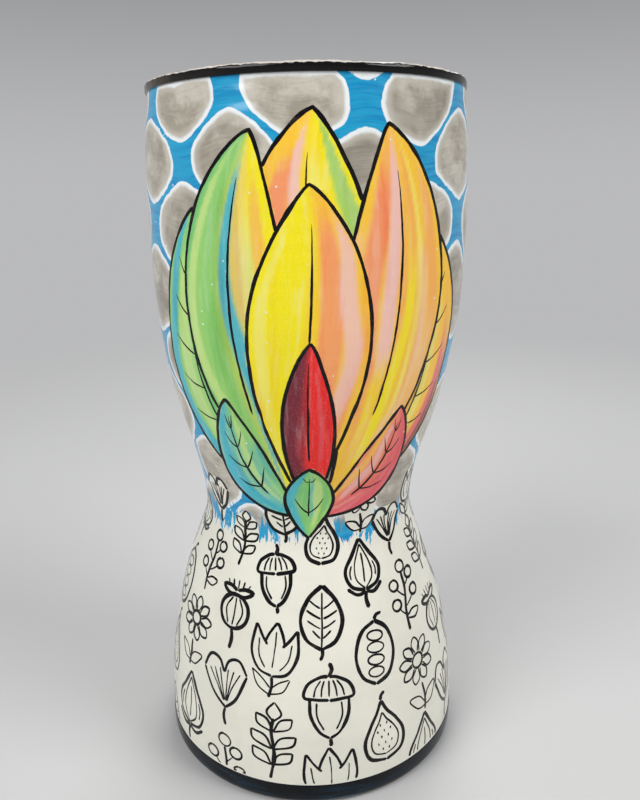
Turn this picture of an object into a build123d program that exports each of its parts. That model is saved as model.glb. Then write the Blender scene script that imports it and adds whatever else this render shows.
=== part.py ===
from build123d import *
import os

# A tall waisted vase of thick fired clay, standing upright on its foot ring.
# Millimetres, +Z up, origin at the centre of the foot's underside.
# The pot is put together from five pieces of clay that are stacked face to face:
# foot ring, floor slab, lower wall, upper wall and lip coil.

# Height of each piece, from the table up.
FOOT_HEIGHT = 14.0           # the dark foot ring
LOWER_HEIGHT = 146.0         # foot ring to the joint at the waist
BELLY_RISE = 162.0           # waist to the widest level of the upper wall
SHOULDER_RISE = 79.0         # widest level to the top of the upper wall
COIL_HEIGHT = 5.0            # the dark lip coil

# Outer radius at each level.
FOOT_RADIUS = 95.6
WAIST_RADIUS = 65.2
BELLY_RADIUS = 92.4
LIP_RADIUS = 88.2            # top of the upper wall

# Thickness of the clay.
WALL = 7.0
FLOOR = 9.0
FOOT_WIDTH = 11.0            # how far the foot ring reaches inwards

# Small features.
FOOT_RECESS = 2.0            # gap between the table and the floor slab
FOOT_ROUND = 3.5             # outer edge of the foot, rolled under
FOOT_EASE = 1.0              # the foot ring's two inner edges
FOOT_PROUD = 0.3             # how far the foot ring stands out from the wall above it
COIL_OVERHANG = 1.1          # how far the lip coil stands proud of the wall
COIL_ROUND = 2.3             # top edges of the lip coil
COIL_EASE = 0.5              # lower outer edge of the lip coil

# Fullness of the curves: how far each end of a curve keeps its direction,
# as a share of the height that the curve climbs.
SKIRT_FULLNESS = 0.565       # lower wall, above the foot ring
THROAT_FULLNESS = 0.123      # lower wall, below the waist
NECK_FULLNESS = 0.213        # upper wall, above the waist
FLANK_FULLNESS = 0.543       # upper wall, below the widest level
SHOULDER_FULLNESS = 0.647    # upper wall, above the widest level
MOUTH_FULLNESS = 0.41        # upper wall, below the lip
MOUTH_LEAN = 0.12            # inward lean of the wall at the lip, per unit of height

# Levels and radii worked out from the values above.
WAIST_LEVEL = FOOT_HEIGHT + LOWER_HEIGHT
BELLY_LEVEL = WAIST_LEVEL + BELLY_RISE
LIP_LEVEL = BELLY_LEVEL + SHOULDER_RISE
FOOT_INNER_RADIUS = FOOT_RADIUS - FOOT_WIDTH
SKIRT_RADIUS = FOOT_RADIUS - FOOT_PROUD      # lower wall, where it stands on the foot ring


def outline(low, high, low_handle, high_handle, high_lean=0.0):
    """Curve from (radius, level) to (radius, level), upright at both ends.

    The handles are shares of the climb. high_lean tips the upper end inwards."""
    (low_radius, low_level), (high_radius, high_level) = low, high
    climb = high_level - low_level
    high_drop = climb * high_handle
    return Bezier(
        (low_radius, 0, low_level),
        (low_radius, 0, low_level + climb * low_handle),
        (high_radius + high_drop * high_lean, 0, high_level - high_drop),
        (high_radius, 0, high_level),
    )


def turned_wall(curves):
    """Solid of revolution between the outer curves and the same curves moved in by the wall."""
    moved_in = [curve.moved(Location((-WALL, 0, 0))) for curve in curves]
    bottom_edge = Line(moved_in[0] @ 0, curves[0] @ 0)
    top_edge = Line(curves[-1] @ 1, moved_in[-1] @ 1)
    section = Face(Wire([bottom_edge, *curves, top_edge, *moved_in]))
    return revolve(section, Axis.Z)


def ring(outer_radius, inner_radius, height, level):
    """Plain ring that starts at the given level."""
    align = (Align.CENTER, Align.CENTER, Align.MIN)
    solid = Cylinder(outer_radius, height, align=align) - Cylinder(inner_radius, height, align=align)
    return Pos(0, 0, level) * solid


def circles(solid, end):
    """The inner and outer circular edges at the lower (0) or upper (-1) end of a ring."""
    rims = solid.edges().filter_by(GeomType.CIRCLE).group_by(Axis.Z)[end]
    return rims.sort_by(SortBy.RADIUS)


def foot_ring():
    """Ring that the vase stands on, with its outer edge rolled under."""
    solid = ring(FOOT_RADIUS, FOOT_INNER_RADIUS, FOOT_HEIGHT, 0)
    solid = fillet(circles(solid, 0)[-1], FOOT_ROUND)
    solid = fillet(circles(solid, 0)[0], FOOT_EASE)
    return fillet(circles(solid, -1)[0], FOOT_EASE)


def floor_slab():
    """Round slab let into the foot ring, clear of the table."""
    align = (Align.CENTER, Align.CENTER, Align.MIN)
    return Pos(0, 0, FOOT_RECESS) * Cylinder(FOOT_INNER_RADIUS, FLOOR, align=align)


def lower_wall():
    """Flared skirt from the foot ring up to the waist."""
    skirt = outline(
        (SKIRT_RADIUS, FOOT_HEIGHT),
        (WAIST_RADIUS, WAIST_LEVEL),
        SKIRT_FULLNESS,
        THROAT_FULLNESS,
    )
    return turned_wall([skirt])


def upper_wall():
    """Tall cup from the waist up to the lip coil, widest a little below its top."""
    flank = outline(
        (WAIST_RADIUS, WAIST_LEVEL),
        (BELLY_RADIUS, BELLY_LEVEL),
        NECK_FULLNESS,
        FLANK_FULLNESS,
    )
    shoulder = outline(
        (BELLY_RADIUS, BELLY_LEVEL),
        (LIP_RADIUS, LIP_LEVEL),
        SHOULDER_FULLNESS,
        MOUTH_FULLNESS,
        MOUTH_LEAN,
    )
    return turned_wall([flank, shoulder])


def lip_coil():
    """Coil along the mouth, a little wider than the wall under it."""
    solid = ring(LIP_RADIUS + COIL_OVERHANG, LIP_RADIUS - WALL, COIL_HEIGHT, LIP_LEVEL)
    solid = fillet(circles(solid, 0)[-1], COIL_EASE)
    return fillet(circles(solid, -1), COIL_ROUND)


PIECES = {
    "foot_ring": foot_ring,
    "floor_slab": floor_slab,
    "lower_wall": lower_wall,
    "upper_wall": upper_wall,
    "lip_coil": lip_coil,
}

os.makedirs("parts", exist_ok=True)
for name, make in PIECES.items():
    export_step(make(), f"parts/{name}.step")
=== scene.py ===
import math

import bpy
import numpy as np
from mathutils import Matrix, Vector
from mathutils.geometry import convex_hull_2d


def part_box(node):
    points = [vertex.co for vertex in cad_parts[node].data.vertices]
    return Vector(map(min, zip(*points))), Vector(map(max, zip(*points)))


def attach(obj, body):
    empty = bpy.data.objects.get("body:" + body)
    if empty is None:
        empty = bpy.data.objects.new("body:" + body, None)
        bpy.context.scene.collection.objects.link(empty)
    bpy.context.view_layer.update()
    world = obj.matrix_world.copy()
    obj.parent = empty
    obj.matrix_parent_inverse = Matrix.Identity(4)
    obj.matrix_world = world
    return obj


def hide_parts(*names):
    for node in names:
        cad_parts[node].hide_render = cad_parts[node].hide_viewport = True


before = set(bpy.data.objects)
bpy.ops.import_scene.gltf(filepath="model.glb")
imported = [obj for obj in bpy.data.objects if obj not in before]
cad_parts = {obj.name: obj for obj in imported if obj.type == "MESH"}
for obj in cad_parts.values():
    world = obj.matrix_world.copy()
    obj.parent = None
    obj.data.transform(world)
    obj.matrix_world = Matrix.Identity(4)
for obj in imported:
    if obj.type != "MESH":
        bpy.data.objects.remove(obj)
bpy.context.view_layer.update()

# A tall waisted vase, painted under a clear gloss glaze.
# Sizes are in millimetres and are turned into metres where a mesh is made.
# "level" is a height above the table. "theta" is the angle round the vase from its front, to the right.
# A drawing has its own meridian: "x" is the distance to the right of it, along the surface.
MM = 0.001
FULL_TURN = 2 * math.pi

# ---- Form of the pot ----

def far_corner(node):
    """Greatest radius and level of a solid."""
    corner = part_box(node)[1]
    return corner.x / MM, corner.z / MM


FOOT_RADIUS, FOOT_TOP = far_corner("foot_ring")
SLAB_RADIUS, SLAB_TOP = far_corner("floor_slab")
SLAB_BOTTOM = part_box("floor_slab")[0].z / MM
SKIRT_RADIUS, WAIST_LEVEL = far_corner("lower_wall")
BELLY_RADIUS, LIP_LEVEL = far_corner("upper_wall")
COIL_RADIUS, MOUTH_LEVEL = far_corner("lip_coil")
BELLY_LEVEL = 322.0
WAIST_RADIUS = 65.2
LIP_RADIUS = 88.2
WALL = 7.0

# Fullness of the profile's curves: how far each end keeps its direction, as a share of the climb.
SKIRT_FULLNESS = 0.565
THROAT_FULLNESS = 0.123
NECK_FULLNESS = 0.213
FLANK_FULLNESS = 0.543
SHOULDER_FULLNESS = 0.647
MOUTH_FULLNESS = 0.41
MOUTH_LEAN = 0.12

# Hand-made unevenness.
LEAN = 1.5                    # the waist stands this far to the left of the foot
LEAN_LEVEL = 125.0
LEAN_SPREAD = 70.0
LEAN_FULL = 70.0              # the lean starts at the foot ring and is full from this level
FLANK_FLAT = 1.35             # the left flank of the upper wall lies this far inwards
FLANK_LEVEL = 318.0
FLANK_SPREAD = 70.0
TILT = 0.012                  # drop of the mouth to the left, per unit of distance from its right end
LUMP_DEPTH = 0.16
LUMP_COUNT = 9
LUMP_FULL = 50.0              # the lumps start at the foot ring and are full from this level
RING_DEPTH = 0.04             # faint throwing rings
RING_PITCH = 8.5


def bezier(handles, count):
    """Points along the cubic curve of four handles."""
    t = np.linspace(0, 1, count)[:, None]
    weights = np.hstack([(1 - t) ** 3, 3 * t * (1 - t) ** 2, 3 * t ** 2 * (1 - t), t ** 3])
    return weights @ np.array(handles, float)


def climb_curve(low, high, low_handle, high_handle, high_lean=0.0):
    """Curve of (radius, level) that is upright at both ends. high_lean tips its top inwards."""
    (low_radius, low_level), (high_radius, high_level) = low, high
    climb = high_level - low_level
    high_drop = climb * high_handle
    return bezier([
        (low_radius, low_level),
        (low_radius, low_level + climb * low_handle),
        (high_radius + high_drop * high_lean, high_level - high_drop),
        (high_radius, high_level),
    ], 400)


FOOT_END = (SKIRT_RADIUS, FOOT_TOP)
WAIST = (WAIST_RADIUS, WAIST_LEVEL)
BELLY = (BELLY_RADIUS, BELLY_LEVEL)
LIP = (LIP_RADIUS, LIP_LEVEL)
PROFILE = np.vstack([
    climb_curve(FOOT_END, WAIST, SKIRT_FULLNESS, THROAT_FULLNESS),
    climb_curve(WAIST, BELLY, NECK_FULLNESS, FLANK_FULLNESS),
    climb_curve(BELLY, LIP, SHOULDER_FULLNESS, MOUTH_FULLNESS, MOUTH_LEAN),
])


def outer_radius(level):
    """Radius of the outside of the walls at a level."""
    return np.interp(level, PROFILE[:, 1], PROFILE[:, 0])


def smooth_step(low, high, value):
    """0 up to low, 1 from high on, and an even climb between them."""
    t = np.clip((value - low) / (high - low), 0, 1)
    return t * t * (3 - 2 * t)


def angles(count):
    """Equal steps round the pot, from the front."""
    return np.linspace(0, FULL_TURN, count, endpoint=False)


def from_front(theta):
    """The same angle as at most half a turn to the right or, below 0, to the left."""
    return (theta + math.pi) % FULL_TURN - math.pi


def make_lumps(seed=5):
    """Random low waves round and up the pot: turns round it, wave length up it, and two phases."""
    chance = np.random.default_rng(seed)
    return [
        (chance.integers(1, 6), chance.uniform(55, 170), *chance.uniform(0, FULL_TURN, 2))
        for _ in range(LUMP_COUNT)
    ]


LUMPS = make_lumps()


def unevenness(theta, level):
    """How far the clay stands out of its true round form. The foot ring is true."""
    total = np.zeros(np.broadcast(theta, level).shape)
    for turns, wave, phase_round, phase_up in LUMPS:
        total += np.sin(turns * theta + phase_round) * np.sin(FULL_TURN * level / wave + phase_up)
    rings = RING_DEPTH * np.sin(FULL_TURN * level / RING_PITCH + 1.3 * np.sin(theta))
    flank = FLANK_FLAT * np.exp(-((level - FLANK_LEVEL) / FLANK_SPREAD) ** 4)
    left_side = np.clip(-np.sin(theta), 0, 1) ** 2
    total = total * LUMP_DEPTH + rings
    return total * smooth_step(FOOT_TOP, LUMP_FULL, level) - flank * left_side


def place(theta, radius, level):
    """Point in metres at an angle, radius and level of the uneven, leaning pot."""
    radius = radius + unevenness(theta, level)
    lean = LEAN * np.exp(-((level - LEAN_LEVEL) / LEAN_SPREAD) ** 2)
    x = radius * np.sin(theta) - lean * smooth_step(FOOT_TOP, LEAN_FULL, level)
    y = -radius * np.cos(theta)
    drop = TILT * (COIL_RADIUS - x) * smooth_step(0, MOUTH_LEVEL, level)
    return np.stack([x, y, level - drop], axis=-1) * MM


def on_pot(theta, level, lift=0.0):
    """Point in metres on the outside of the walls, raised by lift."""
    return place(theta, outer_radius(level) + lift, level)


# ---- Drawing tools ----

def linear(red, green, blue):
    """Linear colour of an sRGB one given from 0 to 255."""
    share = np.array([red, green, blue]) / 255
    return np.where(share <= 0.04045, share / 12.92, ((share + 0.055) / 1.055) ** 2.4)


BLUE = linear(34, 160, 206)
DEEP_BLUE = linear(16, 134, 190)
PALE_BLUE = linear(110, 198, 226)
WHITE = linear(238, 242, 243)
GREY = linear(164, 156, 142)
PALE_GREY = linear(204, 198, 185)
DARK_GREY = linear(130, 122, 110)
CREAM = linear(234, 232, 218)
GREEN = linear(146, 208, 112)
PALE_GREEN = linear(200, 228, 138)
MID_GREEN = linear(118, 196, 118)
CYAN = linear(70, 182, 200)
YELLOW = linear(250, 234, 12)
PALE_YELLOW = linear(248, 238, 120)
AMBER = linear(253, 200, 56)
CORAL = linear(250, 150, 108)
PINK = linear(246, 196, 190)
ROSE = linear(232, 96, 104)
RED = linear(242, 38, 32)
MAROON = linear(122, 34, 50)
INK = linear(13, 12, 14)

STROKE_STEP = 0.9             # distance between the points of a brushed line


def ripple(along, across, seed, count=7):
    """Smooth random waves of two coordinates, about -1 to 1."""
    chance = np.random.default_rng(seed)
    total = 0
    for _ in range(count):
        angle = chance.uniform(0, FULL_TURN)
        pace = chance.uniform(0.5, 2.0)
        phase = chance.uniform(0, FULL_TURN)
        way = along * math.cos(angle) + across * math.sin(angle)
        total = total + np.sin(pace * way + phase)
    return total / math.sqrt(count)


def ripple_round(theta, pace, seed):
    """Random waves round the pot, which meet where the turn ends."""
    return ripple(np.sin(theta) * pace, np.cos(theta) * pace, seed)


def lengths_along(line):
    """Distance of each point from the start of its line."""
    steps = np.linalg.norm(np.diff(line, axis=0), axis=1)
    return np.concatenate([[0], np.cumsum(steps)])


def even_line(points, step):
    """The same line with points a step apart."""
    lengths = lengths_along(points)
    count = max(4, int(round(lengths[-1] / step)))
    stops = np.linspace(0, lengths[-1], count + 1)
    return np.stack([np.interp(stops, lengths, points[:, axis]) for axis in (0, 1)], axis=-1)


def smooth_line(points):
    """Evenly spaced points along a smooth curve through the given ones."""
    points = np.asarray(points, float)
    points = np.vstack([2 * points[0] - points[1], points, 2 * points[-1] - points[-2]])
    t = np.linspace(0, 1, 14, endpoint=False)[:, None]
    spans = []
    for a, b, c, d in zip(points[:-3], points[1:-2], points[2:-1], points[3:]):
        bend = 2 * a - 5 * b + 4 * c - d
        twist = 3 * b - a - 3 * c + d
        spans.append(0.5 * (2 * b + (c - a) * t + bend * t ** 2 + twist * t ** 3))
    return even_line(np.vstack([*spans, points[-2]]), STROKE_STEP)


def normals_of(line):
    """Unit vectors to the left of a line."""
    along = np.gradient(line, axis=0)
    along /= np.linalg.norm(along, axis=1, keepdims=True) + 1e-9
    return np.stack([-along[:, 1], along[:, 0]], axis=-1)


def signed_distance(points, polygon):
    """Distance of points to a closed outline, above 0 inside it."""
    nearest = np.full(len(points), np.inf)
    inside = np.zeros(len(points), bool)
    for start, end in zip(polygon, np.roll(polygon, -1, axis=0)):
        span = end - start
        offset = points - start
        share = np.clip(offset @ span / (span @ span + 1e-12), 0, 1)
        nearest = np.minimum(nearest, ((offset - share[:, None] * span) ** 2).sum(1))
        crosses = (start[1] > points[:, 1]) != (end[1] > points[:, 1])
        edge_x = start[0] + (points[:, 1] - start[1]) * span[0] / (span[1] if span[1] else 1e-12)
        inside ^= crosses & (points[:, 0] < edge_x)
    return np.sqrt(nearest) * np.where(inside, 1, -1)


class Sheet:
    """Brush strokes on the pot. Each is a thin band of glaze with an uneven width and tapered ends."""

    LIFT = 0.035              # top of the paint above the clay
    SINK = 0.10               # its underside, inside the clay
    LIFT_STEP = 0.004         # a stroke rises by this from start to end, and so does each next one
    LAYERS = 10               # after as many strokes the rise starts again
    FOOT_CLEARANCE = 0.5      # strokes end this far above the foot ring
    THINNEST = 0.05           # smallest distance from the middle of a stroke to its edge
    # Random waves, each with its knots' distance and its depth.
    SWAY = (9, 0.10)          # of the line
    SWELL = (7, 0.12)         # of the width, as a share of it
    FRAY = (1.8, 0.035)       # of each edge

    def __init__(self, seed):
        self.strokes = []
        self.chance = np.random.default_rng(seed)

    def wander(self, lengths, knot, depth):
        """Smooth random wave along a stroke."""
        knots = np.arange(-knot, lengths[-1] + 3 * knot, knot)
        values = self.chance.normal(0, depth, len(knots))
        place_in = (lengths - knots[0]) / knot
        low = place_in.astype(int)
        part = smooth_step(0, 1, place_in - low)
        return values[low] * (1 - part) + values[low + 1] * part

    def draw(self, line, width, theta=0.0, level=0.0, taper=(0.9, 0.9)):
        """Paints one line, given in mm about a point on the pot. taper is the length of its two ends."""
        line = line[line[:, 1] + level > FOOT_TOP + self.FOOT_CLEARANCE]
        if len(line) < 4:
            return
        lengths = lengths_along(line)
        sway = [self.wander(lengths, *self.SWAY) for _ in range(2)]
        line = line + np.stack(sway, axis=-1)
        start = np.sqrt(np.clip(lengths / taper[0], 0, 1))
        finish = np.sqrt(np.clip((lengths[-1] - lengths) / taper[1], 0, 1))
        half = 0.5 * width * np.minimum(start, finish) * (1 + self.wander(lengths, *self.SWELL))
        half = np.maximum(half, self.THINNEST)
        left = half + self.wander(lengths, *self.FRAY)
        right = half + self.wander(lengths, *self.FRAY)
        side = normals_of(line)
        bands = np.stack([line + side * left[:, None], line, line - side * right[:, None]], axis=1)
        levels = level + bands[..., 1]
        thetas = theta + bands[..., 0] / outer_radius(levels)
        self.strokes.append((thetas, levels))

    def piece(self, name, material):
        """All strokes as one mesh of closed thin bands."""
        points, polygons, first = [], [], 0
        for number, (thetas, levels) in enumerate(self.strokes):
            climb = np.linspace(0, self.LIFT_STEP, len(thetas))[:, None]
            lift = self.LIFT + self.LIFT_STEP * (number % self.LAYERS) + climb
            top = on_pot(thetas, levels, lift)
            bottom = on_pot(thetas[:, [2, 0]], levels[:, [2, 0]], -self.SINK)
            ring = np.concatenate([top, bottom], axis=1)
            count, sides = ring.shape[:2]
            points.append(ring.reshape(-1, 3))
            row, side = np.meshgrid(np.arange(count - 1), np.arange(sides), indexing="ij")
            after = (side + 1) % sides
            here, above = first + row * sides, first + (row + 1) * sides
            quads = np.stack([here + side, above + side, above + after, here + after], axis=-1)
            polygons += quads.reshape(-1, 4).tolist()
            polygons.append([first + index for index in range(sides)])
            first += count * sides
            polygons.append([first - 1 - index for index in range(sides)])
        return mesh_piece(name, np.concatenate(points), polygons, material)


def link(thing):
    """Puts an object in the scene."""
    bpy.context.scene.collection.objects.link(thing)
    return thing


def mesh_piece(name, points, polygons, *materials):
    """Object with a smooth mesh that stays sharp at its real edges."""
    mesh = bpy.data.meshes.new(name)
    mesh.from_pydata(points, [], polygons)
    mesh.shade_smooth()
    mesh.set_sharp_from_angle(angle=math.radians(35))
    for material in materials:
        mesh.materials.append(material)
    return link(bpy.data.objects.new(name, mesh))


# ---- The big flower on the front ----

class Petal:
    """One petal or leaf about a curved spine of four handles. peak is how far up it is widest.

    Its paint blends from a left to a right colour, with long brush marks over it. A mark is its tint, its
    middle and reach across the petal (-1 is the left edge, 1 the right), its two ends as shares of the way
    up, and its strength."""

    OUTLINE = 1.9
    STEP = 2.0                # distance between the points of the spine
    MIDRIB = (0.30, 0.90)     # its two ends as shares of the way up
    VEINS = (0.36, 0.80)      # feet of the first and last side veins
    VEIN_RISE = 8             # points of the spine from a vein's foot up to its tip

    def __init__(self, spine, width, peak, colours, marks, veins=0, fullness=0.8):
        self.spine = even_line(bezier(spine, 90), self.STEP)
        self.share = np.linspace(0, 1, len(self.spine))
        bend = math.log(0.5) / math.log(peak)
        self.half = width / 2 * np.sin(math.pi * self.share ** bend).clip(0, 1) ** fullness
        self.side = normals_of(self.spine)
        self.left = self.spine + self.side * self.half[:, None]
        self.right = self.spine - self.side * self.half[:, None]
        self.outline = np.vstack([self.left, self.right[-2:0:-1]])
        self.colours = colours
        self.marks = marks
        self.veins = veins
        self.length = self.STEP * (len(self.spine) - 1)

    def inner_place(self, points):
        """Share of the way up the petal, and distance to the right of its spine."""
        gaps = ((points[:, None, :] - self.spine[None]) ** 2).sum(-1)
        near = gaps.argmin(1)
        across = -((points - self.spine[near]) * self.side[near]).sum(1)
        return self.share[near], across

    def paint(self, points, seed):
        """Colours and brush directions at points inside the petal."""
        up, across_mm = self.inner_place(points)
        half = np.interp(up, self.share, self.half) + 1e-6
        across = np.clip(across_mm / half, -1.2, 1.2)
        sway = ripple(up * 5, across * 0.8, seed) * 0.10
        blend = smooth_step(-0.7, 0.7, across + sway)[:, None]
        colour = self.colours[0] * (1 - blend) + self.colours[1] * blend
        across = across + 0.15 * ripple(up * 4, across * 1.5, seed + 50)
        loose = self.loose_marks(seed)
        for number, (tint, centre, reach, low, high, strength) in enumerate(loose + self.marks):
            shake = ripple(up * 9, across * 2.5, seed + 10 + number) * 0.07
            core, rim = (0.2, 1.4) if number < len(loose) else (0.55, 1.1)
            mask = 1 - smooth_step(reach * core, reach * rim, np.abs(across + shake - centre))
            begin = smooth_step(low - 0.07, low + 0.09, up + shake)
            stop = 1 - smooth_step(high - 0.09, high + 0.07, up - shake)
            amount = (mask * begin * stop * strength)[:, None]
            colour = colour * (1 - amount) + tint * amount
        along = up * self.length * 0.032 + seed * 3.1
        brush = np.stack([along, across_mm * 0.26, np.full(len(up), seed * 7.7)], axis=-1)
        return colour, brush

    def loose_marks(self, seed, count=11):
        """Brush marks at random places, in the petal's own tints."""
        chance = np.random.default_rng(100 + seed)
        tints = [mark[0] for mark in self.marks] + list(self.colours)
        marks = []
        for _ in range(count):
            low = chance.uniform(-0.1, 0.7)
            high = low + chance.uniform(0.2, 0.5)
            tint = tints[chance.integers(len(tints))]
            centre = chance.uniform(-0.95, 0.95)
            reach = chance.uniform(0.07, 0.20)
            strength = chance.uniform(0.3, 0.7)
            marks.append((tint, centre, reach, low, high, strength))
        return marks

    def vein_lines(self):
        """Midrib and side veins, each with its width and the lengths of its tapered ends."""
        low, high = (int(len(self.spine) * share) for share in self.MIDRIB)
        yield self.spine[low:high], 1.3, (3, 34)
        for share in np.linspace(*self.VEINS, self.veins):
            start = int(len(self.spine) * share)
            end = min(start + self.VEIN_RISE, len(self.spine) - 3)
            for edge in (self.left, self.right):
                foot = self.spine[start]
                tip = foot * 0.34 + edge[end] * 0.66
                middle = (foot + tip) / 2 - np.array([0, 1.4])
                yield smooth_line([foot, middle, tip]), 0.95, (1.5, 9)


def big_flower():
    """The petals from back to front, in mm to the right of the front meridian and level."""
    back_petal = Petal(
        [(0, 190), (10, 262), (-8, 318), (3, 386)], 66, 0.62, (AMBER, YELLOW),
        [(CORAL, -0.45, 0.30, 0.45, 0.95, 0.9), (PINK, -0.10, 0.16, 0.45, 0.98, 0.85),
         (PALE_YELLOW, 0.30, 0.16, 0.4, 0.95, 0.7), (GREEN, 0.92, 0.20, 0.3, 0.95, 0.8)])
    left_leaf = Petal(
        [(-10, 182), (-50, 212), (-84, 262), (-61, 342)], 47, 0.56, (GREEN, MID_GREEN),
        [(CYAN, -0.86, 0.20, 0.0, 1.0, 0.95), (PALE_GREEN, -0.40, 0.22, 0.1, 0.95, 0.8),
         (MID_GREEN, 0.25, 0.25, 0.15, 0.8, 0.8), (PALE_GREEN, 0.72, 0.16, 0.2, 1.0, 0.6)], veins=5)
    right_leaf = Petal(
        [(10, 182), (54, 208), (88, 256), (72, 330)], 47, 0.56, (AMBER, AMBER),
        [(CORAL, -0.25, 0.22, 0.2, 0.9, 0.75), (PALE_YELLOW, 0.25, 0.16, 0.25, 0.95, 0.7),
         (ROSE, 0.80, 0.22, 0.1, 0.75, 0.9), (MAROON, 0.98, 0.14, 0.05, 0.5, 0.8)], veins=5)
    left_petal = Petal(
        [(-8, 178), (-34, 236), (-56, 300), (-27, 377)], 58, 0.60, (MID_GREEN, YELLOW),
        [(GREEN, -0.55, 0.4, 0.0, 1.0, 0.9), (PALE_GREEN, -0.75, 0.12, 0.2, 0.95, 0.8),
         (CYAN, 0.02, 0.16, 0.1, 0.97, 0.95), (PALE_YELLOW, 0.42, 0.14, 0.3, 0.9, 0.6),
         (CORAL, 0.80, 0.16, 0.35, 0.85, 0.5)])
    right_petal = Petal(
        [(8, 178), (38, 232), (64, 292), (40, 379)], 60, 0.60, (AMBER, AMBER),
        [(CORAL, -0.55, 0.20, 0.35, 0.98, 0.9), (PINK, -0.25, 0.14, 0.4, 1.0, 0.9),
         (YELLOW, 0.12, 0.14, 0.1, 0.75, 0.8), (PALE_YELLOW, 0.42, 0.10, 0.3, 0.95, 0.6),
         (CORAL, 0.85, 0.18, 0.2, 0.9, 0.5)])
    centre_petal = Petal(
        [(0, 176), (-7, 236), (6, 292), (1, 352)], 64, 0.58, (YELLOW, AMBER),
        [(YELLOW, -0.35, 0.45, 0.0, 1.0, 0.9), (PALE_YELLOW, -0.70, 0.12, 0.3, 0.9, 0.7),
         (CORAL, 0.38, 0.20, 0.3, 0.9, 0.8), (PINK, 0.62, 0.12, 0.35, 0.95, 0.8),
         (AMBER, 0.88, 0.16, 0.2, 0.9, 0.7)])
    heart = Petal(
        [(0, 178), (2, 205), (-3, 238), (1, 276)], 28, 0.50, (MAROON, RED),
        [(RED, 0.35, 0.5, 0.0, 1.0, 0.95), (ROSE, 0.55, 0.12, 0.3, 0.8, 0.7),
         (MAROON, -0.6, 0.3, 0.0, 0.9, 0.95)])
    left_sepal = Petal(
        [(-1, 172), (-24, 182), (-46, 204), (-47, 243)], 29, 0.55, (CYAN, GREEN),
        [(PALE_GREEN, 0.35, 0.2, 0.15, 0.9, 0.7), (CYAN, -0.6, 0.3, 0.0, 1.0, 0.8)], veins=4)
    right_sepal = Petal(
        [(1, 172), (26, 180), (50, 200), (54, 236)], 29, 0.55, (CORAL, ROSE),
        [(PINK, -0.30, 0.2, 0.2, 0.9, 0.8), (AMBER, -0.75, 0.2, 0.0, 1.0, 0.7)], veins=4)
    calyx = Petal(
        [(0, 158), (-1, 170), (1, 186), (0, 203)], 27, 0.56, (MID_GREEN, GREEN),
        [(CYAN, -0.75, 0.3, 0.0, 1.0, 0.9), (PALE_GREEN, 0.40, 0.25, 0.1, 0.9, 0.8)],
        veins=2, fullness=0.75)
    return [
        left_leaf, right_leaf, back_petal, left_petal, right_petal, centre_petal, heart,
        left_sepal, right_sepal, calyx,
    ]


PETALS = big_flower()
FLOWER_BASE = min(petal.outline[:, 1].min() for petal in PETALS) - 1
FLOWER_SPREAD = 1.2           # the flower stays within this angle of the front


def visible_runs(line, covers, tucked=0.2):
    """Stretches of a line that lie under none of the petals, or less than tucked far under one."""
    shown = np.ones(len(line), bool)
    for petal in covers:
        shown &= signed_distance(line, petal.outline) < tucked
    changes = np.flatnonzero(np.diff(shown)) + 1
    for run, seen in zip(np.split(line, changes), np.split(shown, changes)):
        if seen.all() and len(run) > 4:
            yield run


def draw_big_flower(sheet):
    """Outlines and veins of the petals, each hidden where a later petal covers it."""
    for number, petal in enumerate(PETALS):
        covers = PETALS[number + 1:]
        edge = np.vstack([petal.left, petal.right[::-1]])
        for run in visible_runs(even_line(edge, STROKE_STEP), covers):
            sheet.draw(run, petal.OUTLINE, taper=(1.2, 1.2))
        for line, width, taper in petal.vein_lines():
            for run in visible_runs(even_line(line, STROKE_STEP), covers):
                sheet.draw(run, width, taper=taper)


# ---- The small plant drawings on the lower wall ----

BOLD = 2.0
FINE = 1.0


def pair(width, *points):
    """A line and its mirror image, both with a width."""
    yield points, width
    yield [(-x, y) for x, y in points], width


def oval(x, y, across, high, turns=1.04, start=0.25, count=30):
    """Closed loop whose end runs a little past its start."""
    angle = FULL_TURN * (start + np.linspace(0, turns, count))
    return np.stack([x + across * np.cos(angle), y + high * np.sin(angle)], axis=-1)


def tulip():
    yield from pair(BOLD, (0, -10), (-8, -7), (-12.5, 4), (-11, 19))
    yield from pair(BOLD, (-11, 19), (-7, 12), (-4, 8))
    yield from pair(BOLD, (-5.5, 9), (-3.5, 15), (0, 22))
    yield [(0, -10), (0.7, -16), (-0.4, -23)], BOLD
    yield [(0, -21), (-7, -17), (-11, -8)], FINE
    yield [(-11, -8), (-5, -12), (0, -17)], FINE
    yield [(0, -21), (7, -18), (10, -10)], FINE
    yield [(10, -10), (4.5, -13), (0, -18)], FINE
    yield [(0, 17), (0.4, 8), (0, -5)], FINE
    yield from pair(FINE, (-9, 11), (-8, 1), (-4, -6))


def leaf():
    yield from pair(BOLD, (0, -17), (-8.5, -11), (-12, 1), (-8, 13), (0, 22))
    yield [(0, -15), (0.5, -20), (-0.8, -24)], BOLD
    yield [(0, -16), (0.4, 0), (0, 18)], FINE
    for level in (-10, -4, 2, 8):
        reach = 9.0 - 0.030 * (level - 1) ** 2
        yield from pair(FINE, (-0.6, level), (-reach * 0.5, level + 2), (-reach, level + 5))


def pod():
    yield from pair(BOLD, (0, -20), (-8.5, -14), (-12, 0), (-8, 13), (0, 19))
    yield [(0, 19), (1.5, 22), (5, 23)], BOLD
    for level in (-12, -4.6, 3, 10):
        yield oval(0, level, 5.4 - 0.05 * abs(level), 3.2), FINE


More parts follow.
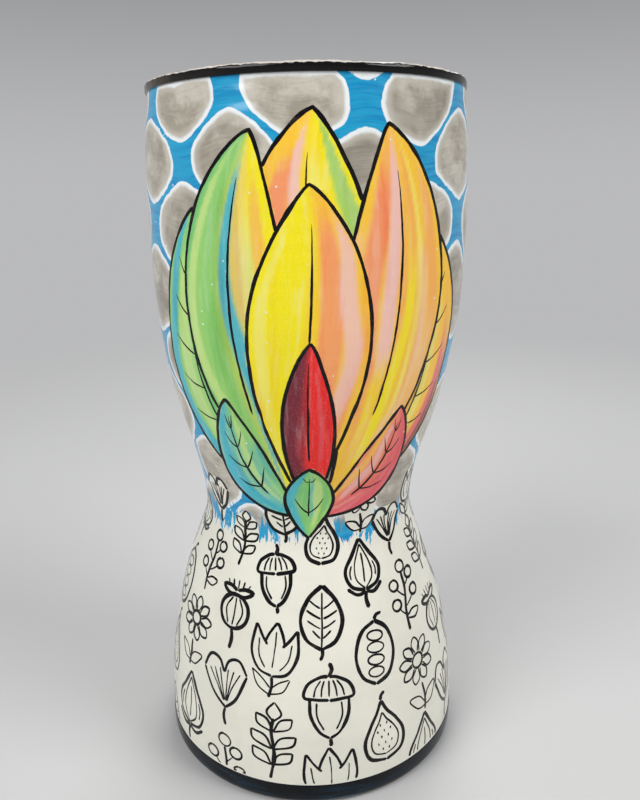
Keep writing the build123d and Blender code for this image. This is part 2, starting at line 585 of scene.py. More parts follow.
def sprig():
    yield [(0, -23), (1.2, -8), (-0.8, 6), (0, 14)], BOLD
    for level, reach in ((-14, 10), (-4, 11), (6, 9)):
        for side in (-1, 1):
            yield [(0, level), (side * reach * 0.35, level + 7), (side * reach, level + 9)], FINE * 1.3
            yield [(side * reach, level + 9), (side * reach * 0.85, level + 3), (0, level)], FINE * 1.3
    yield from pair(FINE * 1.3, (0, 12), (-3.6, 17), (0, 23))


def fan():
    yield from pair(BOLD, (0, -12), (-7, -5), (-13.5, 9))
    yield from pair(BOLD, (-13.5, 9), (-9, 17), (-3, 16), (0, 9))
    yield [(0, -12), (-1.4, -17), (-0.6, -23)], BOLD
    for reach in (-9.5, -6, -2.6, 2.6, 6, 9.5):
        yield [(reach * 0.12, -8), (reach * 0.5, 1), (reach, 11.5 - 0.02 * reach ** 2)], FINE


def fig():
    pear = [(0, 20), (-3, 13), (-8, 5), (-11.5, -5), (-9, -15), (0, -19)]
    yield from pair(BOLD, *pear)
    yield [(0, 20), (0.6, 23), (3, 25)], BOLD
    yield from pair(FINE, *((x * 0.70, y * 0.70 - 1.5) for x, y in pear))
    for row, level in enumerate((-11, -7, -3, 1, 5)):
        for x in ((-2, 2) if row % 2 == 0 else (-4, 0, 4)):
            yield [(x, level + 1), (x * 0.95, level), (x * 0.9, level - 1)], FINE


def poppy_head():
    yield oval(0, 0, 9.5, 10.5), BOLD
    yield from pair(BOLD, (0, 13), (-5, 15), (-10, 14), (-6, 10.5), (0, 10))
    yield [(0, -10.5), (1, -17), (0, -24)], BOLD
    yield [(0, 9), (0.4, 0), (0, -9)], FINE
    yield from pair(FINE, (-2, 9), (-5.6, 1), (-3, -8.5))
    for reach in (-6, -3, 0, 3, 6):
        yield [(reach, 14), (reach * 1.15, 17), (reach * 1.3, 20 - 0.05 * reach ** 2)], FINE


def daisy():
    middle = 8
    yield oval(0, middle, 4.2, 4.2), BOLD
    for number in range(9):
        angle = FULL_TURN * number / 9 + 0.15
        rays = ((4.8, -0.20), (10.5, -0.28), (13.8, 0.0), (10.5, 0.28), (4.8, 0.20))
        yield [
            (reach * math.cos(angle + aside), middle + reach * math.sin(angle + aside))
            for reach, aside in rays
        ], FINE * 1.4
    yield [(0, -6), (0.8, -15), (-0.4, -24)], BOLD
    yield from pair(FINE * 1.2, (0, -21), (-6, -20), (-11, -12), (-4, -13), (0, -19))


def acorn():
    yield from pair(BOLD, (0, -18), (-5, -14), (-9, -5), (-9.5, 5))
    yield [(0, -18), (0.4, -21), (0, -23)], BOLD
    yield from pair(BOLD, (0, 4), (-6, 4.6), (-12, 6), (-10, 13), (-4, 17), (0, 17.5))
    yield [(0, 17), (1.6, 21), (0.6, 25)], BOLD
    for reach in (-7.5, -3.8, 0, 3.8, 7.5):
        yield [(reach, 6), (reach * 0.85, 11), (reach * 0.5, 15.5)], FINE
    yield from pair(FINE, (-6, 3), (-6.2, -5), (-3, -13))


def bud():
    yield from pair(BOLD, (0, -12), (-9, -8), (-11.5, 2), (-5.5, 13), (0, 23))
    yield from pair(FINE, (0, -11), (-5.5, -4), (-5, 6), (0, 19))
    yield from pair(FINE, (-8.4, -4), (-8.8, 1), (-7.2, 6))
    yield from pair(BOLD, (0, -13), (-6, -14), (-12, -9))
    yield [(0, -13), (-0.8, -18), (0.4, -24)], BOLD
    yield [(0, 13), (0.5, 4), (0, -7)], FINE


def berries():
    yield [(0, -24), (-0.8, -10), (1, 4), (0, 15)], BOLD
    for side, level, reach in ((-1, -8, 8), (1, -2, 9), (-1, 5, 8), (1, 10, 7)):
        yield [(0, level - 6), (side * reach * 0.5, level - 2.5), (side * reach * 0.75, level)], FINE
        yield oval(side * reach, level + 3, 3.6, 3.6), FINE * 1.5
    yield oval(0, 19, 3.8, 3.8), FINE * 1.5
    yield [(0, -16), (7, -17), (11, -12), (5, -11), (0, -14)], FINE * 1.3


MOTIFS = [tulip, leaf, pod, daisy, fan, sprig, acorn, fig, bud, berries, poppy_head]
MOTIFS_ROUND = 18             # columns round the pot. Each row fills every second one
COLUMN_SHIFT = 0.3            # of a column, so that none stands right in front
LOWEST_ROW = 14.0
HIGHEST_ROW = 175.0
ROW_RISE = 0.272              # from one row to the next, as a share of the pot's radius
MOTIF_STRETCH = 1.14          # all motifs are drawn this much wider
FULL_SIZE_RADIUS = 89.0       # a motif is drawn full size where the pot is this wide
MOTIF_REACH = 32.0            # no motif reaches further from its middle
FRINGE_LEVEL = 157.0          # ragged lower edge of the blue


def motif_rows():
    """Levels of the rows' middles. The rows close up as the pot narrows."""
    levels = [LOWEST_ROW]
    while levels[-1] < HIGHEST_ROW:
        levels.append(levels[-1] + ROW_RISE * float(outer_radius(levels[-1])))
    return levels[:-1]


def turned(line, angle):
    """The line turned to the left about its own origin."""
    cos, sin = math.cos(angle), math.sin(angle)
    return line @ np.array([[cos, sin], [-sin, cos]])


def motif_row(number, level):
    """One row of plants round the pot, between the columns of the row below.

    A plant is its angle, its level and its lines. A line is its points about that place, and its width."""
    chance = np.random.default_rng(40 + number)
    radius = outer_radius(level)
    plants = []
    for column in range(number % 2, MOTIFS_ROUND, 2):
        theta = FULL_TURN * (column + COLUMN_SHIFT) / MOTIFS_ROUND + chance.uniform(-1.5, 1.5) / radius
        motif = MOTIFS[(4 * column + 3 * number) % len(MOTIFS)]
        tilt = chance.uniform(-0.12, 0.12)
        size = radius / FULL_SIZE_RADIUS * chance.uniform(0.95, 1.04)
        weight = chance.uniform(0.85, 1.15)
        stretch = np.array([MOTIF_STRETCH, 1]) * size
        lines = [
            (turned(smooth_line(np.array(line) * stretch), tilt), width * weight)
            for line, width in motif()
        ]
        plants.append((theta, level + chance.uniform(-2, 2), lines))
    return plants


ROWS = [motif_row(number, level) for number, level in enumerate(motif_rows())]


def draw_plants(sheet, plants):
    """The lines of some plants, where the big flower leaves them free."""
    for theta, level, lines in plants:
        for points, width in lines:
            for run in uncovered_runs(points, theta, level):
                sheet.draw(run, width, theta, level)


FAR_OUTSIDE = -20.0           # stands for the distance inside an outline, where a point is far outside


def plant_ground(theta, level):
    """Distance inside the pale ground that the plants near the ragged edge keep round themselves."""
    depth = np.full(len(theta), FAR_OUTSIDE)
    for plant_theta, plant_level, lines in sum(ROWS, []):
        if plant_level < FRINGE_LEVEL - MOTIF_REACH:
            continue
        aside = from_front(theta - plant_theta) * outer_radius(level)
        points = np.stack([aside, level - plant_level], axis=-1)
        near = np.flatnonzero((np.abs(points) < MOTIF_REACH).all(1))
        drawn = np.vstack([line for line, _ in lines])
        outline = drawn[convex_hull_2d(drawn.tolist())]
        depth[near] = np.maximum(depth[near], signed_distance(points[near], outline))
    return depth


def uncovered_runs(line, theta, level):
    """Stretches of a line, given about a point on the pot, that the big flower leaves free."""
    front = from_front(theta)
    middle = np.array([front * outer_radius(level), level])
    placed = line + middle
    if placed[:, 1].max() < FLOWER_BASE or abs(front) > FLOWER_SPREAD:
        yield line
        return
    for run in visible_runs(placed, PETALS):
        yield run - middle


# ---- Painted grounds, worked out at the points of the walls ----

TILES_ROUND = 8
TILE_HEIGHT = 68.0
TILE_SHIFT = 14.0             # how far the lattice is moved down
TILE_CURVE = 0.4              # 0 gives straight diamonds, and more rounds them
TILE_CUT = 0.125              # share of the lattice's height that stays blue between two grey tiles
TILE_TUCK = 0.5               # the tiles reach this far under the lip
FLATTEST = 0.014              # least slope of the lattice, which rounds the tiles' middles


def ground_place(theta, level):
    """Phase round and up the lattice of tiles, with a hand-drawn unevenness."""
    warp_theta = theta + 0.065 * ripple(np.sin(theta) * 3 + level / 36, np.cos(theta) * 3, 3)
    warp_level = level + 6.0 * ripple(np.sin(theta) * 3, np.cos(theta) * 3 + level / 40, 4)
    return warp_theta * TILES_ROUND / 2, math.pi * (warp_level + TILE_SHIFT) / TILE_HEIGHT


def tile_distance(theta, level):
    """Distance inside the grey tiles, which end under the lip. Below 0 is the blue between them."""
    a, b = ground_place(theta, level)
    bent = b - TILE_CURVE * np.sin(4 * b) / 4
    height = (np.cos(2 * a) + np.cos(2 * bent)) / 2
    slope_round = np.sin(2 * a) * TILES_ROUND / (2 * outer_radius(level))
    slope_up = np.sin(2 * bent) * (1 - TILE_CURVE * np.cos(4 * b)) * math.pi / TILE_HEIGHT
    slope = np.sqrt(slope_round ** 2 + slope_up ** 2 + FLATTEST ** 2)
    return np.minimum((np.abs(height) - TILE_CUT) / slope, LIP_LEVEL - level + TILE_TUCK)


def paint_wall(mesh, theta, level):
    """Stores the painted design at each point of a wall, for the wall's material."""
    points = np.stack([from_front(theta) * outer_radius(level), level], axis=-1)
    colour = np.ones((len(theta), 4))
    petal_mask = np.full(len(theta), FAR_OUTSIDE)
    bow = 3.0 * np.cos(2 * ground_place(theta, level)[0])
    brush = np.stack([np.sin(theta) * 2.6, np.cos(theta) * 2.6, (level + bow) * 0.42], axis=-1)
    margin = 4
    for number, petal in enumerate(PETALS):
        low = petal.outline.min(0) - margin
        high = petal.outline.max(0) + margin
        near = np.flatnonzero(((points > low) & (points < high)).all(1))
        depth = signed_distance(points[near], petal.outline)
        petal_mask[near] = np.maximum(petal_mask[near], depth)
        near = near[depth > -0.5]
        colour[near, :3], brush[near] = petal.paint(points[near], number + 1)
    store(mesh, "tile", tile_distance(theta, level))
    store(mesh, "plant", plant_ground(theta, level))
    store(mesh, "petal", petal_mask)
    store(mesh, "paint", colour)
    store(mesh, "brush", brush)


def store(mesh, name, values):
    """Keeps a value, vector or colour for each point of a mesh."""
    values = np.asarray(values, np.float32).reshape(len(mesh.vertices), -1)
    kinds = {1: ("FLOAT", "value"), 3: ("FLOAT_VECTOR", "vector"), 4: ("FLOAT_COLOR", "color")}
    kind, field = kinds[values.shape[1]]
    mesh.attributes.new(name, kind, "POINT").data.foreach_set(field, values.reshape(-1))


# ---- Clay pieces ----

def uv_spans(low, high, count):
    """Texture heights (low, high) of a number of equal rows of quads."""
    levels = np.linspace(low, high, count + 1)
    return list(zip(levels[:-1], levels[1:]))


def turned_piece(name, rings, uv_rows, *materials):
    """Closed mesh from rings of points, given in order round the section of the piece.

    uv_rows gives the texture heights of each row of quads."""
    count, columns = rings.shape[:2]
    row, column = np.meshgrid(np.arange(count), np.arange(columns), indexing="ij")
    next_row, next_column = (row + 1) % count, (column + 1) % columns
    quads = np.stack([
        row * columns + column,
        row * columns + next_column,
        next_row * columns + next_column,
        next_row * columns + column,
    ], axis=-1)
    piece = mesh_piece(name, rings.reshape(-1, 3), quads.reshape(-1, 4), *materials)
    left = (column / columns).reshape(-1)
    right = left + 1 / columns
    low, high = (np.repeat(heights, columns) for heights in zip(*uv_rows))
    corners = [(left, low), (right, low), (right, high), (left, high)]
    uv = np.stack([np.stack(corner, -1) for corner in corners], axis=1)
    layer = piece.data.uv_layers.new(name="OFBake")
    layer.data.foreach_set("uv", uv.reshape(-1).astype(np.float32))
    return piece


def line_inside(piece, lined):
    """Gives the second material to the quads where lined is true."""
    piece.data.polygons.foreach_set("material_index", lined.astype(np.int32).reshape(-1))


WALL_COLUMNS = 420
COIL_COLUMNS = 720
FOOT_COLUMNS = 360
LOWER_ROWS = (100, 24)        # rings of points up the outside and down the inside
UPPER_ROWS = (160, 40)
OUTSIDE_SHARE = 0.75          # of the texture's height, for the outside of a wall
UV_GAP = 0.01                 # of the texture's height, for each flat end of a wall


def wall_piece(name, low, high, rows, outside, inside):
    """One hollow section of the pot between two levels, painted outside and lined inside."""
    theta = angles(WALL_COLUMNS)
    outer_rows, inner_rows = rows
    outer_levels = np.linspace(low, high, outer_rows)
    inner_levels = np.linspace(high, low, inner_rows)
    rings = [on_pot(theta, np.full_like(theta, level)) for level in outer_levels]
    rings += [on_pot(theta, np.full_like(theta, level), -WALL) for level in inner_levels]
    inside_share = 1 - OUTSIDE_SHARE - 3 * UV_GAP
    uv_rows = uv_spans(1 - OUTSIDE_SHARE, 1, outer_rows - 1)
    uv_rows += uv_spans(UV_GAP + inside_share, 2 * UV_GAP + inside_share, 1)
    uv_rows += uv_spans(UV_GAP + inside_share, UV_GAP, inner_rows - 1)
    uv_rows += uv_spans(0, UV_GAP, 1)
    piece = turned_piece(name, np.stack(rings), uv_rows, outside, inside)
    levels = np.concatenate([outer_levels, inner_levels])
    paint_wall(piece.data, np.tile(theta, len(levels)), np.repeat(levels, WALL_COLUMNS))
    line_inside(piece, np.repeat(np.arange(len(levels)) >= outer_rows - 1, WALL_COLUMNS))
    return piece


CORNER_LENGTH = 1.6           # of a rounded corner of a section, for each mm of rounding


def section_path(corners, step=0.6):
    """Points (radius, level) along a closed section. corners holds (radius, level, rounding) in order."""
    points = []
    for number, (*here, rounding) in enumerate(corners):
        here = np.array(here)
        to_before = np.array(corners[number - 1][:2]) - here
        to_after = np.array(corners[(number + 1) % len(corners)][:2]) - here
        start = here + to_before / np.linalg.norm(to_before) * rounding
        end = here + to_after / np.linalg.norm(to_after) * rounding
        t = np.linspace(0, 1, max(2, int(rounding * CORNER_LENGTH / step) + 2))[:, None]
        points.append(start * (1 - t) ** 2 + here * 2 * t * (1 - t) + end * t ** 2)
    return np.vstack(points)


def lip_coil_piece(material):
    """Dark coil along the mouth, with an uneven top where bare clay shows through."""
    bottom, top = LIP_LEVEL, MOUTH_LEVEL
    inner = LIP_RADIUS - WALL
    rounding = 2.4
    crown = [(inner + share * (COIL_RADIUS - inner), top, 0.25) for share in (0.63, 0.50, 0.37)]
    path = section_path([
        (COIL_RADIUS, bottom, 0.6), (COIL_RADIUS, top, rounding),
        *crown,
        (inner, top, rounding), (inner, bottom, 0.4),
    ])
    theta = angles(COIL_COLUMNS)
    slow_chip = 0.24 * ripple_round(theta, 9, 62)
    rings, crest = [], []
    for radius, level in path:
        height = (level - bottom) / (top - bottom)
        chip = slow_chip + 0.17 * ripple_round(theta, radius * 0.7, 61)
        rough = np.minimum(chip - 0.25, 0) * smooth_step(0.55, 1.0, height)
        rings.append(place(theta, radius + 0.4 * rough, level + rough))
        up = smooth_step(top - 1.5, top - 0.3, level)
        across = 1 - smooth_step(1.2, 3.2, COIL_RADIUS - radius)
        crest.append(np.full(COIL_COLUMNS, up * across))
    piece = turned_piece("lip_coil_glazed", np.stack(rings), uv_spans(0, 1, len(path)), material)
    store(piece.data, "crest", np.stack(crest))
    side = np.tile(theta, len(path))
    patches = 0.6 * ripple_round(side, 7, 63)
    store(piece.data, "worn", smooth_step(0.1, 0.55, 0.45 + patches + 0.6 * np.cos(side + 0.6)))
    return piece


def foot_ring_piece(outside, inside):
    """Dark foot ring with its outer edge rolled under. Its top is lined where it shows inside the pot."""
    middle_of_wall = SKIRT_RADIUS - WALL / 2
    middle_of_slab = (SLAB_BOTTOM + SLAB_TOP) / 2
    rolled = 6.5
    path = section_path([
        (FOOT_RADIUS, 0.0, rolled), (FOOT_RADIUS, FOOT_TOP, 0.9), (middle_of_wall, FOOT_TOP, 0.3),
        (SLAB_RADIUS, FOOT_TOP, 1.0), (SLAB_RADIUS, middle_of_slab, 0.3), (SLAB_RADIUS, 0.0, 1.0),
    ])
    theta = angles(FOOT_COLUMNS)
    rings = [place(theta, radius, np.full_like(theta, level)) for radius, level in path]
    piece = turned_piece("foot_ring_glazed", np.stack(rings), uv_spans(0, 1, len(path)), outside, inside)
    within = (path[:, 0] < middle_of_wall + 0.1) & (path[:, 1] > middle_of_slab)
    line_inside(piece, np.repeat(within & np.roll(within, -1), FOOT_COLUMNS))
    return piece


# ---- Materials ----

class Nodes:
    """Short way to write the nodes of a material or of the world."""

    def __init__(self, owner):
        owner.use_nodes = True
        self.owner = owner
        self.tree = owner.node_tree
        self.shader = self.tree.nodes.get("Principled BSDF")
        self.coordinates = self.add("ShaderNodeTexCoord").outputs
        self.where = self.coordinates["Object"]

    def add(self, kind, inputs=None, **settings):
        node = self.tree.nodes.new(kind)
        for name, value in settings.items():
            setattr(node, name, value)
        for name, value in (inputs or {}).items():
            self.set(node.inputs[name], value)
        return node

    def set(self, socket, value):
        if isinstance(value, bpy.types.NodeSocket):
            self.tree.links.new(value, socket)
        else:
            socket.default_value = value

    def attribute(self, name, output="Fac"):
        return self.add("ShaderNodeAttribute", attribute_name=name).outputs[output]

    def math(self, operation, a, b=0.0, c=0.0):
        return self.add("ShaderNodeMath", {0: a, 1: b, 2: c}, operation=operation).outputs[0]

    def ramp(self, value, low, high, to_low=0.0, to_high=1.0):
        """Smooth way from one value at low to another at high."""
        inputs = {"Value": value, "From Min": low, "From Max": high, "To Min": to_low, "To Max": to_high}
        return self.add("ShaderNodeMapRange", inputs, interpolation_type="SMOOTHSTEP").outputs[0]

    def mix(self, amount, a, b, blend="MIX"):
        a, b = ((*colour, 1.0) if isinstance(colour, np.ndarray) else colour for colour in (a, b))
        inputs = {0: amount, 6: a, 7: b}
        return self.add("ShaderNodeMix", inputs, data_type="RGBA", blend_type=blend).outputs[2]

    def cover(self, base, colour, value, low, high, share=1.0, blend="MIX"):
        """The base, with a share of another colour over it where the value goes from low to high."""
        return self.mix(self.ramp(value, low, high, 0.0, share), base, colour, blend)

    def split(self, vector):
        return self.add("ShaderNodeSeparateXYZ", {0: vector}).outputs

    def level(self):
        """Height above the table, in millimetres."""
        return self.math("MULTIPLY", self.split(self.where)[2], 1 / MM)

    def scaled(self, vector, *scale):
        return self.add("ShaderNodeVectorMath", {0: vector, 1: scale}, operation="MULTIPLY").outputs[0]

    def noise(self, scale, detail=2.0, roughness=0.5, vector=None):
        vector = self.where if vector is None else vector
        inputs = {"Vector": vector, "Scale": scale, "Detail": detail, "Roughness": roughness}
        return self.add("ShaderNodeTexNoise", inputs).outputs[0]

    def shaken(self, value, noise, amount):
        """The value, moved up and down by a noise."""
        return self.math("MULTIPLY_ADD", self.math("SUBTRACT", noise, 0.5), amount, value)

    def bump(self, height, strength, distance):
        inputs = {"Height": height, "Strength": strength, "Distance": distance}
        return self.add("ShaderNodeBump", inputs).outputs[0]

    def surface(self, inputs):
        """Sets the shader's inputs and gives the finished material."""
        for name, value in inputs.items():
            self.set(self.shader.inputs[name], value)
        return self.owner

    def glaze(self, colour, gloss=0.09, wave=0.25, shine=0.36):
        """Clear gloss glaze over a painted colour, with the slight waves and pits of a fired surface."""
        height = self.math("MULTIPLY_ADD", self.noise(900), 0.05, self.noise(55))
        return self.surface({
            "Base Color": colour,
            "Specular IOR Level": shine,
            "Roughness": self.ramp(self.noise(40, 3), 0.45, 0.75, gloss, gloss * 2.2),
            "Normal": self.bump(height, wave, 0.0006),
        })


def new_material(name):
    return Nodes(bpy.data.materials.new(name))


def painted_glaze():
    """White-edged grey tiles on blue, the big flower over them, and cream slip below a ragged edge."""
    nodes = new_material("painted_glaze")
    brush = nodes.attribute("brush", "Vector")
    streak = nodes.noise(1, 4, 0.6, brush)
    wide_streak = nodes.noise(0.35, 2, 0.5, brush)
    hair = nodes.noise(1, 3, 0.6, nodes.scaled(brush, 2, 2, 3.6))
    shake = nodes.noise(210, 3, 0.6)

    blue = nodes.cover(DEEP_BLUE, BLUE, streak, 0.30, 0.60)
    blue = nodes.cover(blue, PALE_BLUE, hair, 0.50, 0.78, 0.22)

    edge = nodes.shaken(nodes.attribute("tile"), shake, 1.3)
    edge = nodes.shaken(edge, nodes.noise(80), 3.2)
    grey = nodes.cover(GREY, PALE_GREY, nodes.noise(60, 4, 0.65), 0.36, 0.64)
    grey = nodes.cover(grey, DARK_GREY, nodes.noise(21, 3, 0.55), 0.48, 0.66, 0.65)
    grey = nodes.cover(grey, DARK_GREY, streak, 0.48, 0.66, 0.24)
    grey = nodes.cover(grey, PALE_GREY, hair, 0.50, 0.70, 0.22)
    grey = nodes.cover(grey, DARK_GREY, hair, 0.44, 0.28, 0.18)
    grey = nodes.cover(grey, PALE_GREY, edge, 7.0, 2.0, 0.70)
    ground = nodes.cover(blue, WHITE, edge, -0.35, 0.20)
    ground = nodes.cover(ground, grey, edge, 1.0, 2.9)

    bristle = nodes.noise(520, 3, 0.65, nodes.scaled(nodes.where, 1, 1, 0.08))
    sweep = nodes.noise(42, 2, 0.5, nodes.scaled(nodes.where, 1, 1, 0.3))
    reach = nodes.shaken(nodes.shaken(nodes.level(), bristle, 36), sweep, 22)
    slip = nodes.cover(CREAM, CREAM * 0.93, nodes.noise(26, 4), 0.35, 0.7)
    below = nodes.cover(blue, ground, reach, FRINGE_LEVEL + 8, FRINGE_LEVEL + 13)
    base = nodes.cover(slip, below, reach, FRINGE_LEVEL - 0.6, FRINGE_LEVEL + 0.6)
    plant = nodes.shaken(nodes.attribute("plant"), shake, 2.2)
    base = nodes.cover(base, slip, plant, -0.6, 0.1)

    paint = nodes.attribute("paint", "Color")
    petal = nodes.cover(paint, WHITE, streak, 0.50, 0.74, 0.16)
    petal = nodes.cover(petal, paint, wide_streak, 0.48, 0.30, 0.40, "MULTIPLY")
    petal = nodes.cover(petal, paint, hair, 0.45, 0.28, 0.18, "MULTIPLY")
    petal = nodes.cover(petal, WHITE, nodes.noise(1100, 2, 0.6), 0.52, 0.72, 0.06)
    base = nodes.cover(base, petal, nodes.attribute("petal"), -0.3, 0.3)

    # White specks over the paint: partly pinholes in the glaze and partly painted glints.
    speck = nodes.add("ShaderNodeTexVoronoi", {"Vector": nodes.where, "Scale": 150}).outputs
    chance = nodes.add("ShaderNodeSeparateColor", {0: speck["Color"]}).outputs[0]
    pinhole_and_glint = nodes.math("MULTIPLY", nodes.ramp(speck["Distance"], 0.10, 0.06), nodes.ramp(chance, 0.80, 0.81))
    return nodes.glaze(nodes.mix(nodes.math("MULTIPLY", pinhole_and_glint, 0.85), base, WHITE))


def ink_glaze():
    """Black brush lines under the same glaze, thinner and browner in places."""
    nodes = new_material("ink_glaze")
    ink = nodes.cover(INK, linear(84, 66, 60), nodes.noise(160, 3, 0.6), 0.55, 0.80, 0.5)
    return nodes.glaze(ink, shine=0.22)


def liner_glaze():
    """Plain pale glaze inside the pot, with a dark run from the lip."""
    nodes = new_material("liner_glaze")
    pale = nodes.cover(linear(226, 222, 208), linear(208, 203, 188), nodes.noise(30, 4), 0.35, 0.7)
    drips = nodes.noise(60, 3, 0.5, nodes.scaled(nodes.where, 1, 1, 0.3))
    run = nodes.math("MULTIPLY_ADD", drips, 12, nodes.level())
    return nodes.glaze(nodes.cover(pale, INK, run, LIP_LEVEL - 3, LIP_LEVEL - 1), wave=0.35)


def lip_glaze():
    """Black glaze that has drawn back from the top of the lip and shows rough pale clay there. On its left
    side the black carries a painted brown reflection.
    """
    nodes = new_material("lip_glaze")
    crest = nodes.attribute("crest")
    bare = nodes.shaken(crest, nodes.noise(420, 4, 0.65), 1.5)
    bare = nodes.shaken(bare, nodes.noise(75, 3, 0.6), 2.4)
    bare = nodes.math("MULTIPLY", nodes.ramp(bare, 0.42, 0.60), nodes.ramp(crest, 0.0, 0.3))
    bare = nodes.math("MULTIPLY", bare, nodes.attribute("worn"))
    # Painted reflection: mottled brown on the left side of the lip.
    reflection_mottle = nodes.ramp(nodes.noise(34, 3), 0.36, 0.62, 0.15, 1.0)
    left_side = nodes.ramp(nodes.split(nodes.where)[0], -30 * MM, -75 * MM)
    black = nodes.mix(nodes.math("MULTIPLY", reflection_mottle, left_side), linear(16, 15, 16), linear(74, 64, 52))
    nodes.glaze(nodes.mix(bare, black, linear(206, 198, 188)), wave=0.5, shine=0.24)
    return nodes.surface({"Roughness": nodes.ramp(bare, 0.0, 1.0, 0.08, 0.75)})


def foot_glaze():
    """Blue-black gloss glaze, wiped off the ring that stands on the table. Its streaks are partly brush
    marks and partly a painted highlight.
    """
    nodes = new_material("foot_glaze")
    sweep = nodes.noise(30, 4, 0.6, nodes.scaled(nodes.where, 1, 1, 9))
    black = linear(4, 6, 11)
    # Painted highlight: the blue and pale streaks round the band are partly brush marks and partly stand
    # in for a highlight. Near the ring's top edge they mostly turn black again.
    dark = nodes.cover(black, linear(10, 36, 52), sweep, 0.42, 0.62)
    dark = nodes.cover(dark, linear(58, 92, 112), sweep, 0.60, 0.72, 0.6)
    uneven_level = nodes.math("MULTIPLY_ADD", nodes.noise(90, 3), 1.2, nodes.level())
    dark = nodes.cover(dark, black, uneven_level, FOOT_TOP - 3.0, FOOT_TOP - 0.6, 0.85)
    colour = nodes.cover(linear(190, 172, 148), dark, uneven_level, 1.2, 1.5)
    return nodes.glaze(colour, wave=0.6, shine=0.24)


def bare_clay():
    """Unglazed buff clay with fine grog. The top of the slab is under the liner glaze."""
    nodes = new_material("bare_clay")
    tone = nodes.mix(nodes.noise(45, 4), linear(196, 178, 154), linear(176, 156, 132))
    clay = nodes.cover(tone, linear(120, 100, 84), nodes.noise(1400), 0.62, 0.72, 0.6)
    lined = nodes.ramp(nodes.level(), SLAB_TOP - 0.5, SLAB_TOP - 0.2)
    return nodes.surface({
        "Base Color": nodes.mix(lined, clay, linear(216, 211, 196)),
        "Roughness": nodes.ramp(lined, 0.0, 1.0, 0.85, 0.12),
        "Normal": nodes.bump(nodes.noise(700, 4), 0.4, 0.0004),
    })


# ---- Stage: floor, light and camera ----

NEAR_FLOOR = (0.56, 0.56, 0.556, 1.0)      # the floor's own colour
BACKDROP = (0.49, 0.492, 0.50, 1.0)        # the floor far away, and the backdrop at floor height
TOP_BACKDROP = (0.25, 0.252, 0.26, 1.0)
BACKDROP_CLIMB = 0.36                      # rise of the line of sight at which the backdrop is darkest
FLOOR_REACH = 6.0                          # metres, as are the next two
FADE_START = 0.30
FADE_END = 1.60


def make_floor():
    """Pale floor that fades into the backdrop's colour away from the vase."""
    nodes = new_material("floor")
    away = nodes.add("ShaderNodeVectorMath", {0: nodes.where}, operation="LENGTH").outputs["Value"]
    nodes.surface({"Base Color": NEAR_FLOOR, "Roughness": 0.6, "Specular IOR Level": 0.2})
    far = nodes.add("ShaderNodeEmission", {"Color": BACKDROP, "Strength": 1.0}).outputs[0]
    fade = nodes.ramp(away, FADE_START, FADE_END)
    blend = nodes.add("ShaderNodeMixShader", {0: fade, 1: nodes.shader.outputs[0], 2: far}).outputs[0]
    nodes.set(nodes.tree.nodes["Material Output"].inputs[0], blend)
    corners = [(math.cos(angle) * FLOOR_REACH, math.sin(angle) * FLOOR_REACH, 0) for angle in angles(96)]
    mesh_piece("floor", corners, [list(range(len(corners)))], nodes.owner)


def make_lamp(name, place_m, size, power):
    """Round soft lamp that shines at the middle of the vase."""
    data = bpy.data.lights.new(name, "AREA")
    data.shape = "DISK"
    data.size = size
    data.energy = power
    lamp = link(bpy.data.objects.new(name, data))
    lamp.location = place_m
    lamp.rotation_euler = (Vector((0, 0, 0.2)) - Vector(place_m)).to_track_quat("-Z", "Y").to_euler()


def make_light():
    """Backdrop that darkens with height, and three large soft lamps."""
    nodes = Nodes(bpy.data.worlds.new("world"))
    bpy.context.scene.world = nodes.owner
    climb = nodes.split(nodes.coordinates["Generated"])[2]
    backdrop = nodes.cover(BACKDROP, TOP_BACKDROP, climb, 0.0, BACKDROP_CLIMB)
    nodes.set(nodes.tree.nodes["Background"].inputs["Color"], backdrop)
    make_lamp("key_lamp", (-1.3, -1.25, 1.7), 1.5, 36)
    make_lamp("fill_lamp", (1.7, -0.8, 1.8), 1.3, 31)
    make_lamp("back_lamp", (0.3, 1.7, 1.6), 1.6, 22)


CAMERA_PLACE = Vector((0.0, -0.44883, 0.34848))
CAMERA_YAW = math.radians(0.88)
CAMERA_PITCH = math.radians(15.87)
CAMERA_ROLL = math.radians(-0.39)
CAMERA_FOCUS = 738.75         # focal length in pixels of the 640 by 800 image
IMAGE_HEIGHT = 800
SENSOR = 36.0


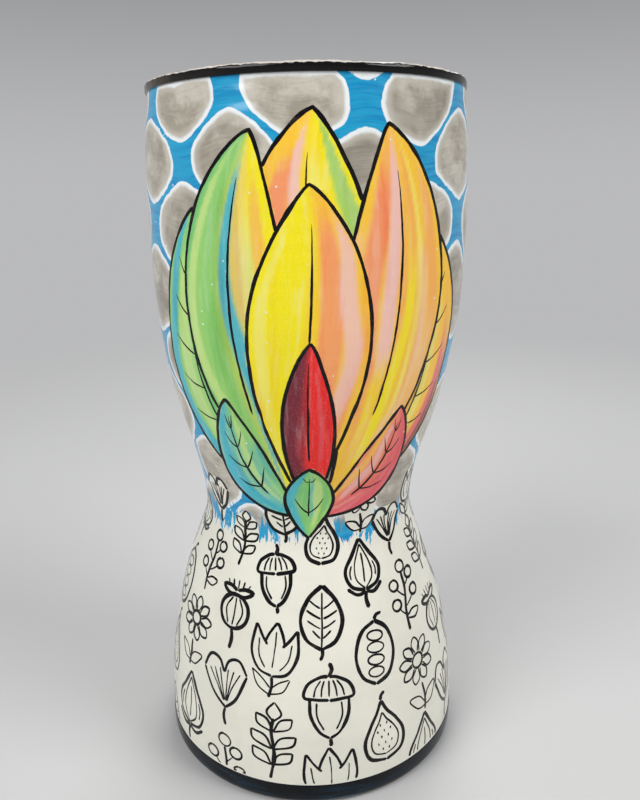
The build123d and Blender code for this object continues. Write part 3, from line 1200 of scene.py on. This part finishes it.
def make_camera():
    """Camera at the place, turn and focal length of the view from the front."""
    data = bpy.data.cameras.new("camera")
    data.sensor_fit = "VERTICAL"
    data.sensor_height = SENSOR
    data.lens = SENSOR * CAMERA_FOCUS / IMAGE_HEIGHT
    camera = link(bpy.data.objects.new("camera", data))
    yaw = Matrix.Rotation(-CAMERA_YAW, 4, "Z")
    pitch = Matrix.Rotation(math.pi / 2 - CAMERA_PITCH, 4, "X")
    roll = Matrix.Rotation(CAMERA_ROLL, 4, "Z")
    camera.matrix_world = Matrix.Translation(CAMERA_PLACE) @ yaw @ pitch @ roll
    bpy.context.scene.camera = camera


# ---- Assembly ----

def finish_piece(piece, slot, *nodes):
    """Ties a piece to the pot and hides the solids that it stands for. The slot argument is not used."""
    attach(piece, "root")
    if nodes:
        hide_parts(*nodes)


def make_walls(painted, liner):
    """The two hollow sections, painted outside and lined inside."""
    lower = wall_piece("lower_wall_glazed", FOOT_TOP, WAIST_LEVEL, LOWER_ROWS, painted, liner)
    finish_piece(lower, "cream_glaze", "lower_wall")
    upper = wall_piece("upper_wall_glazed", WAIST_LEVEL, LIP_LEVEL, UPPER_ROWS, painted, liner)
    finish_piece(upper, "painted_glaze", "upper_wall")


def make_lines(ink):
    """Black lines of the flower, and of each row of plants."""
    flower = Sheet(11)
    draw_big_flower(flower)
    finish_piece(flower.piece("flower_lines", ink), "painted_glaze")
    for number, row in enumerate(ROWS):
        plants = Sheet(20 + number)
        draw_plants(plants, row)
        finish_piece(plants.piece(f"plant_row_{number + 1}", ink), "cream_glaze")


make_camera()
make_floor()
make_light()
bpy.context.scene.view_settings.view_transform = "Standard"

painted, ink, liner = painted_glaze(), ink_glaze(), liner_glaze()
make_walls(painted, liner)
finish_piece(lip_coil_piece(lip_glaze()), "lip_glaze", "lip_coil")
finish_piece(foot_ring_piece(foot_glaze(), liner), "foot_glaze", "foot_ring")
make_lines(ink)

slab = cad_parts["floor_slab"]
slab.data.materials.clear()
slab.data.materials.append(bare_clay())
